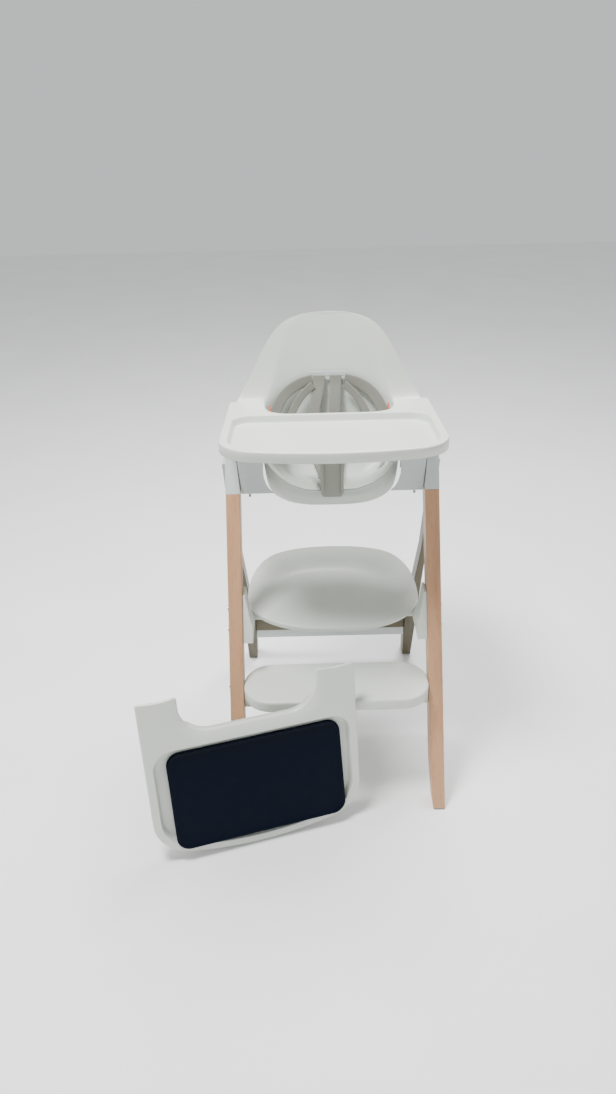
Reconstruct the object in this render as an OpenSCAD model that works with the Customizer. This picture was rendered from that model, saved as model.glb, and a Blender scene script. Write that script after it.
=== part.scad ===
// Wooden-legged baby high chair with a bucket seat, a footrest platform, a step,
// a tray on the seat and a second tray with a dark board that leans on the step.
// Millimetres. +Z is up, the front of the chair faces -Y, the centre of the chair is x = 0
// before the whole part is moved onto the centre of its floor box.

/* [Frame] */
// Width across the outside of the feet
stance_width = 448; // [400:2:500]
// Depth from the front feet to the back of the rear feet
stance_depth = 591; // [520:1:640]
// Width of a leg seen from the front
leg_width = 29; // [22:1:34]
// Depth of a leg from front to back, measured level
leg_depth = 41; // [34:1:50]
// Backward rake of the front legs in degrees
front_rake = 22.1; // [15:0.1:30]
// Forward rake of the rear legs in degrees
rear_rake = 18.7; // [12:0.1:25]
// Inward lean of the front legs in degrees
side_lean = 0.78; // [0:0.01:2]
// Outward splay of the rear legs in degrees
rear_splay = 0.8; // [0:0.01:2]
// Width across the outside of the rear feet
rear_stance_width = 434; // [400:2:460]
// Height where the front legs enter the top joints
front_joint_z = 627; // [580:1:660]
// Height where the rear legs enter the top joints
rear_joint_z = 600; // [560:1:640]
// Height of the top of the side joints
hub_top_z = 741; // [720:1:745]

/* [Seat] */
// Height of the front edge of the tray
tray_front_z = 783.5; // [740:0.5:820]
// Distance from the front feet to the front edge of the tray
tray_front_y = 78; // [60:1:110]
// Backward tilt of the seat and tray in degrees
seat_tilt = 4.2; // [0:0.1:8]
// Half width of the seat hollow between the armrests
bucket_half_width = 142; // [130:1:150]
// Half width over the outside of the armrests
armrest_half_width = 200; // [190:1:204]
// Depth of the seat pan below the tray
pan_depth = 172; // [150:1:185]
// Height of the back above the tray
back_height = 178; // [150:1:220]

/* [Trays] */
// Half width of a tray
tray_half_width = 212; // [205:1:218]
// Depth of a tray from its front edge to the tips of its arms
tray_depth = 362; // [330:1:380]
// Height of a tray's outer edge
tray_skirt = 20; // [16:1:24]
// Distance from a tray's front edge to the hollow for the child's belly
belly_start = 277; // [250:1:290]

/* [Boards] */
// Height of the top of the platform
platform_z = 365; // [340:1:390]
// Height of the top of the step
step_z = 260; // [230:1:290]

/* [Leaning tray] */
// Sideways place of the leaning tray's front edge
lean_x = -156; // [-200:1:-100]
// Front to back place of the leaning tray's front edge
lean_y = -71; // [-120:0.1:0]
// Turn of the leaning tray about the vertical in degrees
lean_turn = 16.2; // [0:0.1:30]
// Lean of the leaning tray away from the vertical in degrees
lean_back = 9; // [5:0.1:20]

/* [Hidden] */

$fn = 64;
gap = 0.3;
far = 1000;

wood = [0.76, 0.62, 0.49];
white = [0.86, 0.87, 0.85];
grey = [0.72, 0.74, 0.73];
webbing = [0.62, 0.62, 0.57];
orange = [0.75, 0.4, 0.25];
navy = [0.03, 0.06, 0.13];
steel = [0.6, 0.6, 0.62];

// The middle of the whole part's floor box, measured from the chair's own centre line.
row_shift = [78, -236, 0];

half_stance = stance_width / 2;
front_slope = tan(front_rake);
rear_slope = tan(rear_rake);
glide_height = 2;
foot_taper = 5;
foot_taper_height = 80;
shoulder = 5;
tenon_length = 42;
rear_front_y = stance_depth - leg_depth;
rear_half_stance = rear_stance_width / 2;
rear_leg_width = 27;
rear_top_width = 13;
rear_taper_low = 150;
rear_taper_high = 400;
rear_shoulder = 3;
rear_shoulder_gap = 0.5;
rear_socket_top = 662;
crotch_z = 655;
hub_top_width = 18;

function front_y(z) = front_slope * z;
function rear_y(z) = rear_front_y - rear_slope * z;
function outer_x(z) = half_stance - z * tan(side_lean);
function rear_inner_x(z) =
    rear_half_stance + z * tan(rear_splay) - rear_leg_width / cos(rear_splay);

module mirrored(side) {
    mirror([side < 0 ? 1 : 0, 0, 0]) children();
}

// Puts a drawing of [y, z] points across the width of the chair.
module side_prism(x0, x1) {
    translate([x0, 0, 0])
        rotate([90, 0, 90])
            linear_extrude(x1 - x0) children();
}

// Puts a drawing of [x, z] points through the depth of the chair.
module front_prism(y0, y1) {
    translate([0, y1, 0])
        rotate([90, 0, 0])
            linear_extrude(y1 - y0) children();
}

// The plane of a front leg, with x = 0 on its outer face.
module side_plane() {
    translate([half_stance, 0, 0])
        rotate([0, -side_lean, 0]) children();
}

// The plane of a rear leg, with x = 0 on its outer face.
module rear_plane() {
    translate([rear_half_stance, 0, 0])
        rotate([0, rear_splay, 0]) children();
}

module above_glides() {
    intersection() {
        children();
        translate([0, 0, glide_height]) cylinder(r = far, h = far);
    }
}

// Width profile of a front leg: foot taper, full width, then the narrower tenon.
module front_leg_width() {
    top_z = front_joint_z + tenon_length;
    polygon([
        [0, -10], [0, front_joint_z], [-shoulder, front_joint_z], [-shoulder, top_z],
        [shoulder - leg_width, top_z], [shoulder - leg_width, front_joint_z],
        [-leg_width, front_joint_z], [-leg_width, foot_taper_height],
        [foot_taper - leg_width, -10]
    ]);
}

// Width profile of a rear leg, which also tapers on its inner side towards the top.
module rear_leg_width_profile() {
    joint_z = rear_joint_z - rear_shoulder_gap;
    top_z = joint_z + tenon_length;
    polygon([
        [0, -10], [0, joint_z], [-rear_shoulder, joint_z], [-rear_shoulder, top_z],
        [rear_shoulder - rear_top_width, top_z], [rear_shoulder - rear_top_width, joint_z],
        [-rear_top_width, joint_z], [-rear_top_width, rear_taper_high],
        [-rear_leg_width, rear_taper_low], [-rear_leg_width, foot_taper_height],
        [foot_taper - rear_leg_width, -10]
    ]);
}

// Depth profile of a raked leg whose front face follows start + slope * z.
module leg_depth_profile(start, slope, joint_z) {
    top_z = joint_z + tenon_length;
    polygon([
        [start - 10 * slope, -10], [start + slope * joint_z, joint_z],
        [start + slope * joint_z + shoulder, joint_z],
        [start + slope * top_z + shoulder, top_z],
        [start + slope * top_z + leg_depth - shoulder, top_z],
        [start + slope * joint_z + leg_depth - shoulder, joint_z],
        [start + slope * joint_z + leg_depth, joint_z], [start + leg_depth - 10 * slope, -10]
    ]);
}

module front_leg_solid() {
    side_plane()
        intersection() {
            side_prism(-leg_width, 0) leg_depth_profile(0, front_slope, front_joint_z);
            front_prism(-far, far) front_leg_width();
        }
}

module rear_leg_solid() {
    joint_z = rear_joint_z - rear_shoulder_gap;
    rear_plane()
        intersection() {
            side_prism(-leg_width, 0) leg_depth_profile(rear_front_y, -rear_slope, joint_z);
            front_prism(-far, far) rear_leg_width_profile();
        }
}

module front_leg(side) {
    color(wood) mirrored(side) above_glides() front_leg_solid();
}

module rear_leg(side) {
    color(wood) mirrored(side) above_glides() rear_leg_solid();
}

module hub_depth_profile() {
    polygon([
        [front_y(front_joint_z), front_joint_z], [front_y(hub_top_z), hub_top_z],
        [rear_y(hub_top_z) + leg_depth, hub_top_z],
        [rear_y(rear_joint_z) + leg_depth, rear_joint_z], [rear_y(rear_joint_z), rear_joint_z],
        [rear_y(crotch_z), crotch_z], [front_y(crotch_z) + leg_depth, crotch_z],
        [front_y(front_joint_z) + leg_depth, front_joint_z]
    ]);
}

module hub_width_profile() {
    polygon([
        [0, 0], [0, hub_top_z], [-hub_top_width, hub_top_z], [-leg_width, front_joint_z],
        [-leg_width, 0]
    ]);
}

pin_t = 248;
pin_h = -65.5;
pin_radius = 7;
pin_reach = 203;
pin_y = tray_front_y + pin_t * cos(seat_tilt) + pin_h * sin(seat_tilt);
pin_z = tray_front_z - pin_t * sin(seat_tilt) + pin_h * cos(seat_tilt);
pin_slot = pin_radius + 0.2;

// Upright slot, open at the top, that a seat pin drops into.
module pin_slot_cut() {
    translate([0, pin_y, pin_z]) {
        rotate([0, 90, 0]) cylinder(r = pin_slot, h = pin_reach + 0.5);
        translate([0, -pin_slot, 0]) cube([pin_reach + 0.5, 2 * pin_slot, far]);
    }
}

// Outward step of the side joint that the top of the rear leg goes into.
module rear_socket() {
    rear_plane()
        side_prism(-rear_top_width, 0)
            polygon([
                [rear_y(rear_joint_z), rear_joint_z],
                [rear_y(rear_joint_z) + leg_depth, rear_joint_z],
                [rear_y(rear_socket_top) + leg_depth, rear_socket_top],
                [rear_y(rear_socket_top), rear_socket_top]
            ]);
}

module side_joint(side) {
    color(grey)
        mirrored(side)
            difference() {
                union() {
                    side_plane()
                        intersection() {
                            side_prism(-leg_width, 0) hub_depth_profile();
                            front_prism(-far, far) hub_width_profile();
                        }
                    rear_socket();
                }
                front_leg_solid();
                rear_leg_solid();
                pin_slot_cut();
            }
}

module foot_glides() {
    color(grey)
        for (side = [-1, 1])
            for (foot = [[half_stance, 0, leg_width],
                         [rear_half_stance, rear_front_y, rear_leg_width]])
                mirrored(side)
                    translate([foot[0] - foot[2] + foot_taper + 0.5, foot[1] + 1, 0])
                        cube([foot[2] - foot_taper - 1, leg_depth - 2, glide_height]);
}

crossbar_low_z = 112;
crossbar_high_z = 145;
crossbar_depth = 22;
brace_low_z = 88;
brace_depth = 16;
rear_mid_y = rear_y((crossbar_low_z + crossbar_high_z) / 2) + leg_depth / 2;

// A level bar between the rear legs, its ends cut to the splay of the legs.
module leg_to_leg_bar(y, depth, z0, z1) {
    reach_low = rear_inner_x(z0) - 0.02;
    reach_high = rear_inner_x(z1) - 0.02;
    front_prism(y - depth / 2, y + depth / 2)
        polygon([[-reach_low, z0], [reach_low, z0], [reach_high, z1], [-reach_high, z1]]);
}

module rear_crossbar() {
    color(wood)
        leg_to_leg_bar(rear_mid_y, crossbar_depth, crossbar_low_z, crossbar_high_z);
}

module rear_brace() {
    color(grey) leg_to_leg_bar(rear_mid_y, brace_depth, brace_low_z, crossbar_low_z);
}

// A round-headed screw along +X with its head's underside at x = 0.
module screw(head_radius, length) {
    socket = head_radius / 2;
    difference() {
        rotate([0, 90, 0]) cylinder(r = head_radius, h = 2.4);
        translate([1.2, 0, 0]) rotate([0, 90, 0]) cylinder(r = socket, h = 2, $fn = 6);
    }
    translate([-length, 0, 0]) rotate([0, 90, 0]) cylinder(r = head_radius / 2.2, h = length);
}

// Outer leg screws stay proud of the wood; their shanks are left out inside it.
module leg_screws(heights, start, slope) {
    for (z = heights)
        translate([0.02, start + slope * z + leg_depth / 2, z]) screw(6, 0.01);
}

module crossbar_screws() {
    heights = [(crossbar_low_z + crossbar_high_z) / 2, (brace_low_z + crossbar_low_z) / 2];
    color(steel)
        for (side = [-1, 1])
            mirrored(side) rear_plane() leg_screws(heights, rear_front_y, -rear_slope);
}

module platform_screws() {
    color(steel)
        for (side = [-1, 1])
            mirrored(side)
                side_plane() leg_screws([platform_z - 5, platform_z + 35], 0, front_slope);
}

module step_screws() {
    color(steel)
        for (side = [-1, 1])
            mirrored(side) side_plane() leg_screws([step_z - 12], 0, front_slope);
}

platform_half_width = 187;
platform_half_depth = 141;
platform_mid_y = 295;
platform_edge = 7;
platform_thickness = 14;
platform_power = 2.3;
platform_rim_rise = 40;

// Distance from the centre to the edge of a squared ellipse in one direction.
function squared_reach(a, b, power, angle) =
    1 / pow(pow(abs(cos(angle)) / a, power) + pow(abs(sin(angle)) / b, power), 1 / power);

function ease(u) = u < 0 ? 0 : u > 1 ? 1 : u * u * (3 - 2 * u);

// Rise of the platform: none at the front, a low back rest round the rear.
function platform_rise(angle, share) =
    platform_rim_rise * ease((sin(angle) + 0.1) / 0.8) * ease((share - 0.62) / 0.42);

// One ring of a body of revolution-like form, from a list of [share, height] stations.
function platform_point(angle, station) =
    let (reach = squared_reach(platform_half_width, platform_half_depth, platform_power, angle),
         out = max(0, reach * station[0] + station[1]))
    [out * cos(angle), platform_mid_y + out * sin(angle),
     platform_z + platform_rise(angle, station[0]) + station[2]];

platform_stations = [
    [0.2, 0, 0], [0.4, 0, 0], [0.55, 0, 0], [0.66, 0, 0], [0.76, 0, 0], [0.86, 0, 0],
    [0.94, 0, 0], [1, -4, 0], [1, -1, -3], [1, 0, -platform_edge], [1, -1, -11],
    [1, -4, -platform_thickness], [0.94, -2, -platform_thickness],
    [0.86, -2, -platform_thickness], [0.76, -2, -platform_thickness],
    [0.66, -2, -platform_thickness], [0.4, 0, -platform_thickness],
    [0.2, 0, -platform_thickness]
];

// Skin through rings of points; the first and last rings are closed by flat fans.
module ring_body(rings) {
    count = len(rings[0]);
    last = len(rings) - 1;
    points = [for (ring = rings) each ring];
    sides = [
        for (r = [0:last - 1])
            for (i = [0:count - 1])
                let (j = (i + 1) % count)
                each [[r * count + i, r * count + j, (r + 1) * count + j],
                      [r * count + i, (r + 1) * count + j, (r + 1) * count + i]]
    ];
    first_cap = [for (i = [1:count - 2]) [0, i + 1, i]];
    last_cap = [for (i = [1:count - 2]) [last * count, last * count + i, last * count + i + 1]];
    polyhedron(concat(points), concat(sides, first_cap, last_cap));
}

module platform() {
    color(white)
        ring_body([
            for (i = [len(platform_stations) - 1:-1:0])
                [for (a = [0:6:354]) platform_point(a, platform_stations[i])]
        ]);
}

bracket_low_z = 338;
bracket_high_z = 430;
bracket_width = 20;
bracket_lap = 4;
ledge_inner = 140;
ledge_back_y = 275;

// Column beside the front leg, raked with it, and a ledge that carries the platform.
module platform_bracket(side) {
    low_face = outer_x(bracket_low_z) - leg_width - gap;
    high_face = outer_x(bracket_high_z) - leg_width - gap;
    back_low = front_y(bracket_low_z) + leg_depth + bracket_lap;
    back_high = front_y(bracket_high_z) + leg_depth + bracket_lap;
    ledge_height = platform_z - platform_thickness - bracket_low_z;
    color(white)
        mirrored(side) {
            intersection() {
                front_prism(0, far)
                    polygon([
                        [low_face - bracket_width, bracket_low_z], [low_face, bracket_low_z],
                        [high_face, bracket_high_z], [high_face - 5, bracket_high_z],
                        [low_face - 14, bracket_high_z - 40],
                        [low_face - bracket_width, bracket_high_z - 58]
                    ]);
                side_prism(0, far)
                    polygon([
                        [front_y(bracket_low_z) + 6, bracket_low_z], [back_low, bracket_low_z],
                        [back_high, bracket_high_z], [front_y(bracket_high_z) + 6, bracket_high_z]
                    ]);
            }
            translate([low_face - bracket_width, back_low - 12, bracket_low_z])
                cube([bracket_width - 1, ledge_back_y - back_low, ledge_height]);
            translate([ledge_inner, ledge_back_y - 45, bracket_low_z])
                cube([low_face - ledge_inner - 2, 45, ledge_height]);
        }
}

step_half_length = 191;
step_front_y = 47;
step_back_y = 176;
step_corner = 58;
step_thickness = 26;

module stadium(half_length, y0, y1, corner) {
    for (x = [corner - half_length, half_length - corner])
        for (y = [y0 + corner, y1 - corner])
            translate([x, y]) circle(r = corner);
    translate([corner - half_length, y0]) square([2 * (half_length - corner), y1 - y0]);
    translate([-half_length, y0 + corner]) square([2 * half_length, y1 - y0 - 2 * corner]);
}

module step() {
    color(white)
        translate([0, 0, step_z - step_thickness])
            linear_extrude(step_thickness)
                stadium(step_half_length, step_front_y, step_back_y, step_corner);
}

// Block under the end of the step, against the inside of the front leg.
module step_mount(side) {
    top_z = step_z - step_thickness;
    low_z = top_z - 26;
    leg_face_low = outer_x(low_z) - leg_width - 0.5;
    leg_face_top = outer_x(top_z) - leg_width - 0.5;
    color(white)
        mirrored(side)
            front_prism(front_y(top_z) + 3, front_y(top_z) + leg_depth - 6)
                polygon([
                    [leg_face_low - 12, low_z], [leg_face_low, low_z], [leg_face_top, top_z],
                    [leg_face_top - 46, top_z], [leg_face_low - 24, low_z + 8]
                ]);
}

// ---- Seat, in its own tilted frame: x across, y back along the tray, z above it ----

module in_seat() {
    translate([0, tray_front_y, tray_front_z])
        rotate([-seat_tilt, 0, 0]) children();
}

shell_mid = 300;
shell_front = 89;
shell_back = 88;
shell_front_power = 3.2;
shell_back_power = 4.5;
shell_wall = 4;
shell_belly = 22;
shell_lean = 17;
wall_power = 3.4;
front_rim_width = 4;
front_rim_end = -13;
armrest_top = -4.5;

// Height of the rim round the leg openings, by direction from the front (-90) to the side (0).
front_rim = [[-90, -148], [-60, -146], [-45, -136], [-36, -122], [-28, -106], [-22, -98],
             [-19, -24]];
// Outer edge of the armrest and back: direction, then how far across, back and up.
rim_path = [
    [-12, armrest_half_width, 268, armrest_top], [8, armrest_half_width, 325, armrest_top],
    [16, armrest_half_width, 346, armrest_top], [20, armrest_half_width, 362, armrest_top],
    [24, armrest_half_width, 371, armrest_top], [28, 198, 379, -1], [32, 186, 386, 17],
    [36, 165, 389, 51], [40, 145, 391, 94], [44, 126, 394, 127], [48, 108, 396, 148],
    [52, 95, 398, 158], [56, 83, 400, 165], [62, 62, 402, 172], [70, 42, 403, 176],
    [80, 19, 404, back_height - 1], [90, 0, 404, back_height]
];
// Depth of the turned-down edge by the same directions.
rim_edges = [[-90, 4], [-13, 4], [-12, 14], [24, 14], [32, 9], [40, 7], [90, 7]];

function side_angle(angle) = abs(angle) > 90 ? sign(angle) * (180 - abs(angle)) : angle;

function rim_value(angle, k) = lookup(side_angle(angle), [for (p = rim_path) [p[0], p[k]]]);

function at_front(angle) = side_angle(angle) < front_rim_end;

function rim_height(angle) =
    at_front(angle) ? lookup(side_angle(angle), front_rim) : rim_value(angle, 3);

function shell_reach(angle, extra) =
    sin(angle) < 0
        ? squared_reach(bucket_half_width + extra, shell_front + extra, shell_front_power, angle)
        : squared_reach(bucket_half_width + extra, shell_back + extra, shell_back_power, angle);

// A point of the bowl: share 0 at the middle of the pan, 1 at the rim.
function bowl_point(angle, share, extra, rim, low = -pan_depth) =
    let (out = shell_reach(angle, extra) * pow(sin(90 * share), 2 / wall_power),
         height = low + (1 - pow(cos(90 * share), 2 / wall_power)) * (rim - low))
    [out * cos(angle),
     shell_mid + out * sin(angle) + shell_lean * max(0, sin(angle)) * max(0, height) / back_height,
     height];

function rim_corner(angle) =
    let (edge = bowl_point(angle, 1, 0, rim_height(angle)))
    at_front(angle)
        ? edge + front_rim_width * [cos(angle), sin(angle), 0]
        : [sign(cos(angle)) * rim_value(angle, 1), rim_value(angle, 2), rim_value(angle, 3)];

// A point of the flange between the bowl's edge and the rim's outer corner.
function flange_point(angle, inset, down) =
    let (edge = bowl_point(angle, 1, 0, rim_height(angle)),
         corner = rim_corner(angle),
         width = norm(corner - edge),
         share = 1 - inset / width)
    edge + share * (corner - edge) - [0, 0, down];

function shell_ring(angle) =
    let (rim = rim_height(angle),
         width = norm(rim_corner(angle) - bowl_point(angle, 1, 0, rim)),
         edge = lookup(side_angle(angle), rim_edges))
    concat(
        [for (s = [0.1, 0.25, 0.4, 0.52, 0.62, 0.72, 0.8, 0.88, 0.94, 0.98])
            bowl_point(angle, s, 0, rim)],
        [flange_point(angle, width - 0.5, 0), flange_point(angle, width / 2, 0),
         flange_point(angle, 1.5, 0.4), flange_point(angle, 0, 2),
         flange_point(angle, 0, edge), flange_point(angle, 2, edge)],
        width > 6 ? [flange_point(angle, 2.5, shell_wall),
                     flange_point(angle, width - shell_wall - 1, shell_wall)]
                  : [flange_point(angle, 2, edge + 0.5), flange_point(angle, 2.2, edge + 1)],
        [for (s = [0.96, 0.9, 0.84, 0.76, 0.68, 0.58, 0.46, 0.3, 0.12])
            bowl_point(angle, s, shell_wall, rim - shell_wall, -pan_depth - shell_belly)]
    );

module seat_shell() {
    columns = [for (a = [0:4:356]) shell_ring(a > 180 ? a - 360 : a)];
    color(white)
        in_seat()
            ring_body([
                for (k = [len(columns[0]) - 1:-1:0]) [for (column = columns) column[k]]
            ]);
}

cheek_outer = 184.5;
cheek_front = 203;
cheek_back = 345;
cheek_low = -150;
cheek_top = -24;
cheek_flare = 10;
cheek_wall = 3.5;

// Flat front cover of one side of the seat, cut away along the leg opening.
module cheek_front_outline() {
    polygon([
        [137, cheek_top], [cheek_outer + cheek_flare, cheek_top], [cheek_outer, cheek_low],
        [118, cheek_low],
        [127, -142], [134, -130], [138, -116], [139, -102], [138, -88]
    ]);
}

module seat_cheek(side) {
    color(grey)
        in_seat()
            mirrored(side) {
                front_prism(cheek_front, cheek_front + cheek_wall) cheek_front_outline();
                translate([cheek_outer - cheek_wall, cheek_front, cheek_low])
                    cube([cheek_wall, cheek_back - cheek_front, cheek_top - cheek_low]);
                translate([153, cheek_back - cheek_wall, cheek_low])
                    cube([cheek_outer - 153, cheek_wall, cheek_top - cheek_low]);
            }
}

module seat_pins() {
    color(grey)
        in_seat()
            for (side = [-1, 1])
                mirrored(side)
                    translate([cheek_outer, pin_t, pin_h])
                        rotate([0, 90, 0]) cylinder(r = pin_radius, h = pin_reach - cheek_outer);
}

// Small catches that show below the flat front covers.
module seat_catches() {
    color(grey)
        in_seat()
            for (side = [-1, 1])
                mirrored(side)
                    translate([168, cheek_front + 8, cheek_low - 8]) {
                        cylinder(r = 2.4, h = 8);
                        translate([-2.4, -4, 0]) cube([4.8, 8, 2.5]);
                    }
}

tab_t = 338;
tab_h = -21;
tab_wall_x = 135.5;
tab_travel = 4;

// The release gear on the inside of an armrest; x = 0 on the wall, +x out into it.
module on_armrest_wall(side) {
    in_seat()
        mirrored(side)
            translate([tab_wall_x, tab_t, tab_h]) children();
}

// Teardrop tab that is pushed out towards the armrest to free the seat.
module release_tab(side) {
    color(orange)
        on_armrest_wall(side)
            side_prism(-12, -9) {
                circle(r = 8);
                polygon([[-8, 0], [8, 0], [0, 18]]);
            }
}

module release_spring(side) {
    color(steel)
        on_armrest_wall(side)
            translate([-8.9, 0, 0])
                rotate([0, 90, 0])
                    difference() {
                        cylinder(r = 3.5, h = tab_travel + 0.6);
                        translate([0, 0, -1]) cylinder(r = 2.5, h = tab_travel + 3);
                    }
}

module tab_guide(side) {
    color(grey)
        on_armrest_wall(side)
            side_prism(-4.2, -1.6) circle(r = 9.5);
}

post_front = 196;
post_back = 206;
post_top = -21;
post_low = -158;

// Flat waisted post between the legs, with a raised rib along each side.
module crotch_post() {
    color(grey)
        in_seat() {
            front_prism(post_front, post_back)
                polygon([
                    [-30, post_top], [-26, -60], [-23, -100], [-23, post_low + 8],
                    [-18, post_low], [18, post_low], [23, post_low + 8], [23, -100],
                    [26, -60], [30, post_top]
                ]);
            for (side = [-1, 1])
                mirrored(side)
                    front_prism(post_front - 5, post_front)
                        polygon([
                            [24, post_top], [30, post_top], [26, -60], [23, -100],
                            [23, post_low + 8], [17, post_low + 8], [17, -100], [20, -60]
                        ]);
        }
}

guide_half = 38;

// Plate on the back that the shoulder straps come out of.
module strap_guide() {
    color(grey)
        in_seat()
            translate([-guide_half, 383.5, 38])
                difference() {
                    cube([2 * guide_half, 3, 18]);
                    translate([4, -1, 6]) cube([2 * guide_half - 8, 5, 6]);
                }
}

strap_width = 25;
strap_thick = 2.2;

function unit(v) = v / norm(v);

function path_direction(path, i) =
    unit(path[min(i + 1, len(path) - 1)] - path[max(i - 1, 0)]);

// Flat band along a path, from the direction across it and its face direction at each point.
module band(path, width, across, facing) {
    half = width / 2;
    deep = strap_thick / 2;
    ring_body([
        for (i = [0:len(path) - 1])
            [path[i] + half * across[i] + deep * facing[i],
             path[i] + half * across[i] - deep * facing[i],
             path[i] - half * across[i] - deep * facing[i],
             path[i] - half * across[i] + deep * facing[i]]
    ]);
}

// A strap that hangs down the back and comes forward, level from side to side.
module falling_strap(path, width) {
    across = [for (p = path) [-1, 0, 0]];
    facing = [for (i = [0:len(path) - 1]) unit(cross([1, 0, 0], path_direction(path, i)))];
    band(path, width, across, facing);
}

// A strap that arches sideways with its face to the front.
module arched_strap(path, width) {
    facing = [for (p = path) [0, 1, 0]];
    across = [for (i = [0:len(path) - 1]) unit(cross([0, 1, 0], path_direction(path, i)))];
    band(path, width, across, facing);
}

module shoulder_strap(side) {
    top_x = side > 0 ? 15 : -20;
    low_x = side > 0 ? 12 : -32;
    end_x = side > 0 ? 15 : -15;
    color(webbing)
        in_seat()
            falling_strap([
                [top_x, 380, 48], [top_x, 377, 30], [(top_x + low_x) / 2, 369, 4],
                [low_x, 360, -26], [low_x, 352, -60], [low_x, 345, -105],
                [(low_x + end_x) / 2, 336, -133], [end_x, 316, -149], [end_x, 290, -151]
            ], strap_width);
}

module hip_strap(side) {
    color(webbing)
        in_seat()
            mirrored(side)
                arched_strap([
                    [34, 380, 40], [62, 378, 32], [87, 373, 17], [105, 366, -4],
                    [116, 358, -30], [118, 348, -58], [113, 336, -92], [100, 326, -120]
                ], strap_width - 2);
}

module loop_strap(side) {
    color(webbing)
        in_seat()
            mirrored(side)
                arched_strap([
                    [33, 372, 30], [52, 369, 14], [68, 364, -6], [80, 357, -28],
                    [86, 350, -52]
                ], strap_width - 9);
}

module crotch_strap() {
    color(webbing)
        in_seat()
            falling_strap([[0, 258, -153], [0, 240, -156], [0, 220, -150], [0, 208, -138]],
                          strap_width);
}

buckle_t = 259;
buckle_h = -158;
buckle_length = 30;
buckle_height = 16;
button_size = 14;
button_travel = 3;

module buckle() {
    color(grey)
        in_seat()
            difference() {
                translate([-22, buckle_t, buckle_h]) cube([44, buckle_length, buckle_height]);
                translate([-button_size / 2 - gap, buckle_t + 8 - gap, buckle_h + 4])
                    cube([button_size + 2 * gap, button_size + 2 * gap, buckle_height]);
            }
}

module buckle_button() {
    color(orange)
        in_seat()
            translate([-button_size / 2, buckle_t + 8, buckle_h + buckle_height - 5])
                cube([button_size, button_size, 6.5]);
}

module buckle_spring() {
    color(steel)
        in_seat()
            translate([0, buckle_t + 8 + button_size / 2, buckle_h + 4])
                difference() {
                    cylinder(r = 4, h = buckle_height - 9);
                    translate([0, 0, -1]) cylinder(r = 3, h = buckle_height);
                }
}

// ---- Trays, drawn flat with their front edge at y = 0 and their top at z = 0 ----

bow = 34;
bow_radius = (tray_half_width * tray_half_width + bow * bow) / (2 * bow);
front_corner = 80;
corner_x = tray_half_width - front_corner;
corner_y = bow_radius
    - sqrt(pow(bow_radius - front_corner, 2) - pow(tray_half_width - front_corner, 2));
corner_lead = 1.5;
bow_middle_x = corner_x * bow_radius / (bow_radius - front_corner);
notch_half_width = 135;
notch_corner = 60;
recess_half_width = 197;
recess_back = 252;
recess_depth = 15;
recess_corner = 40;
tray_wall = 3.5;
arm_clear_half = 180;
arm_clear_start = 312;

// Tray outline without the hollow for the child, drawn smaller by an inset.
module tray_blank(inset) {
    half = tray_half_width - inset;
    middle_y = corner_y - corner_lead;
    intersection() {
        translate([0, bow_radius]) circle(r = bow_radius - inset, $fn = 256);
        union() {
            for (side = [-1, 1])
                translate([side * corner_x, middle_y]) circle(r = front_corner - inset);
            translate([-bow_middle_x, -bow]) square([2 * bow_middle_x, middle_y + bow]);
            translate([-half, middle_y]) square([2 * half, tray_depth - inset - middle_y]);
        }
    }
}

// The hollow at the back of a tray, drawn larger by an outset.
module belly_notch(outset) {
    for (side = [-1, 1])
        translate([side * (notch_half_width - notch_corner), belly_start + notch_corner])
            circle(r = notch_corner + outset);
    translate([notch_corner - notch_half_width, belly_start - outset])
        square([2 * (notch_half_width - notch_corner), tray_depth]);
    translate([-notch_half_width - outset, belly_start + notch_corner])
        square([2 * (notch_half_width + outset), tray_depth]);
}

module recess_outline(outset) {
    half = recess_half_width + outset;
    corner_mid_y = recess_back - recess_corner + outset;
    intersection() {
        tray_blank(tray_half_width - half);
        union() {
            translate([-tray_half_width, -1]) square([2 * tray_half_width, corner_mid_y + 1]);
            translate([recess_corner - half, 0])
                square([2 * (half - recess_corner), recess_back + outset]);
            for (side = [-1, 1])
                translate([side * (half - recess_corner), corner_mid_y]) circle(r = recess_corner);
        }
    }
}

// Moulded tray: rim, skirt, recessed floor, arms hollow underneath.
module tray_body() {
    translate([0, 0, -tray_skirt])
        difference() {
            linear_extrude(tray_skirt)
                difference() {
                    tray_blank(0);
                    belly_notch(0);
                }
            translate([0, 0, tray_skirt - recess_depth])
                linear_extrude(tray_skirt) recess_outline(0);
            translate([0, 0, -1])
                linear_extrude(tray_skirt + 1 - recess_depth - tray_wall)
                    difference() {
                        tray_blank(tray_wall);
                        belly_notch(tray_wall);
                    }
            translate([0, 0, -1])
                linear_extrude(tray_skirt + 1 - tray_wall)
                    difference() {
                        tray_blank(tray_wall);
                        belly_notch(tray_wall);
                        recess_outline(tray_wall);
                    }
            translate([-far, tray_depth - tray_wall - 1, -1])
                cube([2 * far, far, tray_skirt + 1 - tray_wall]);
            translate([-arm_clear_half, arm_clear_start, -1])
                cube([2 * arm_clear_half, far, tray_skirt + 1 - tray_wall]);
        }
}

module tray() {
    color(white) in_seat() tray_body();
}

// The leaning tray stands on its front edge; its top faces the front.
module in_lean() {
    translate([lean_x, lean_y, tray_skirt * sin(lean_back) + 0.05])
        rotate([0, 0, lean_turn])
            rotate([90 - lean_back, 0, 0]) children();
}

module leaning_tray() {
    color(white) in_lean() tray_body();
}

board_half_width = 174;
board_middle_x = 3;
board_front = 27;
board_depth = 212;
board_corner = 27;
board_thickness = 6;
board_lift = 1.7;
board_tilt = 4.35;

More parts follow.
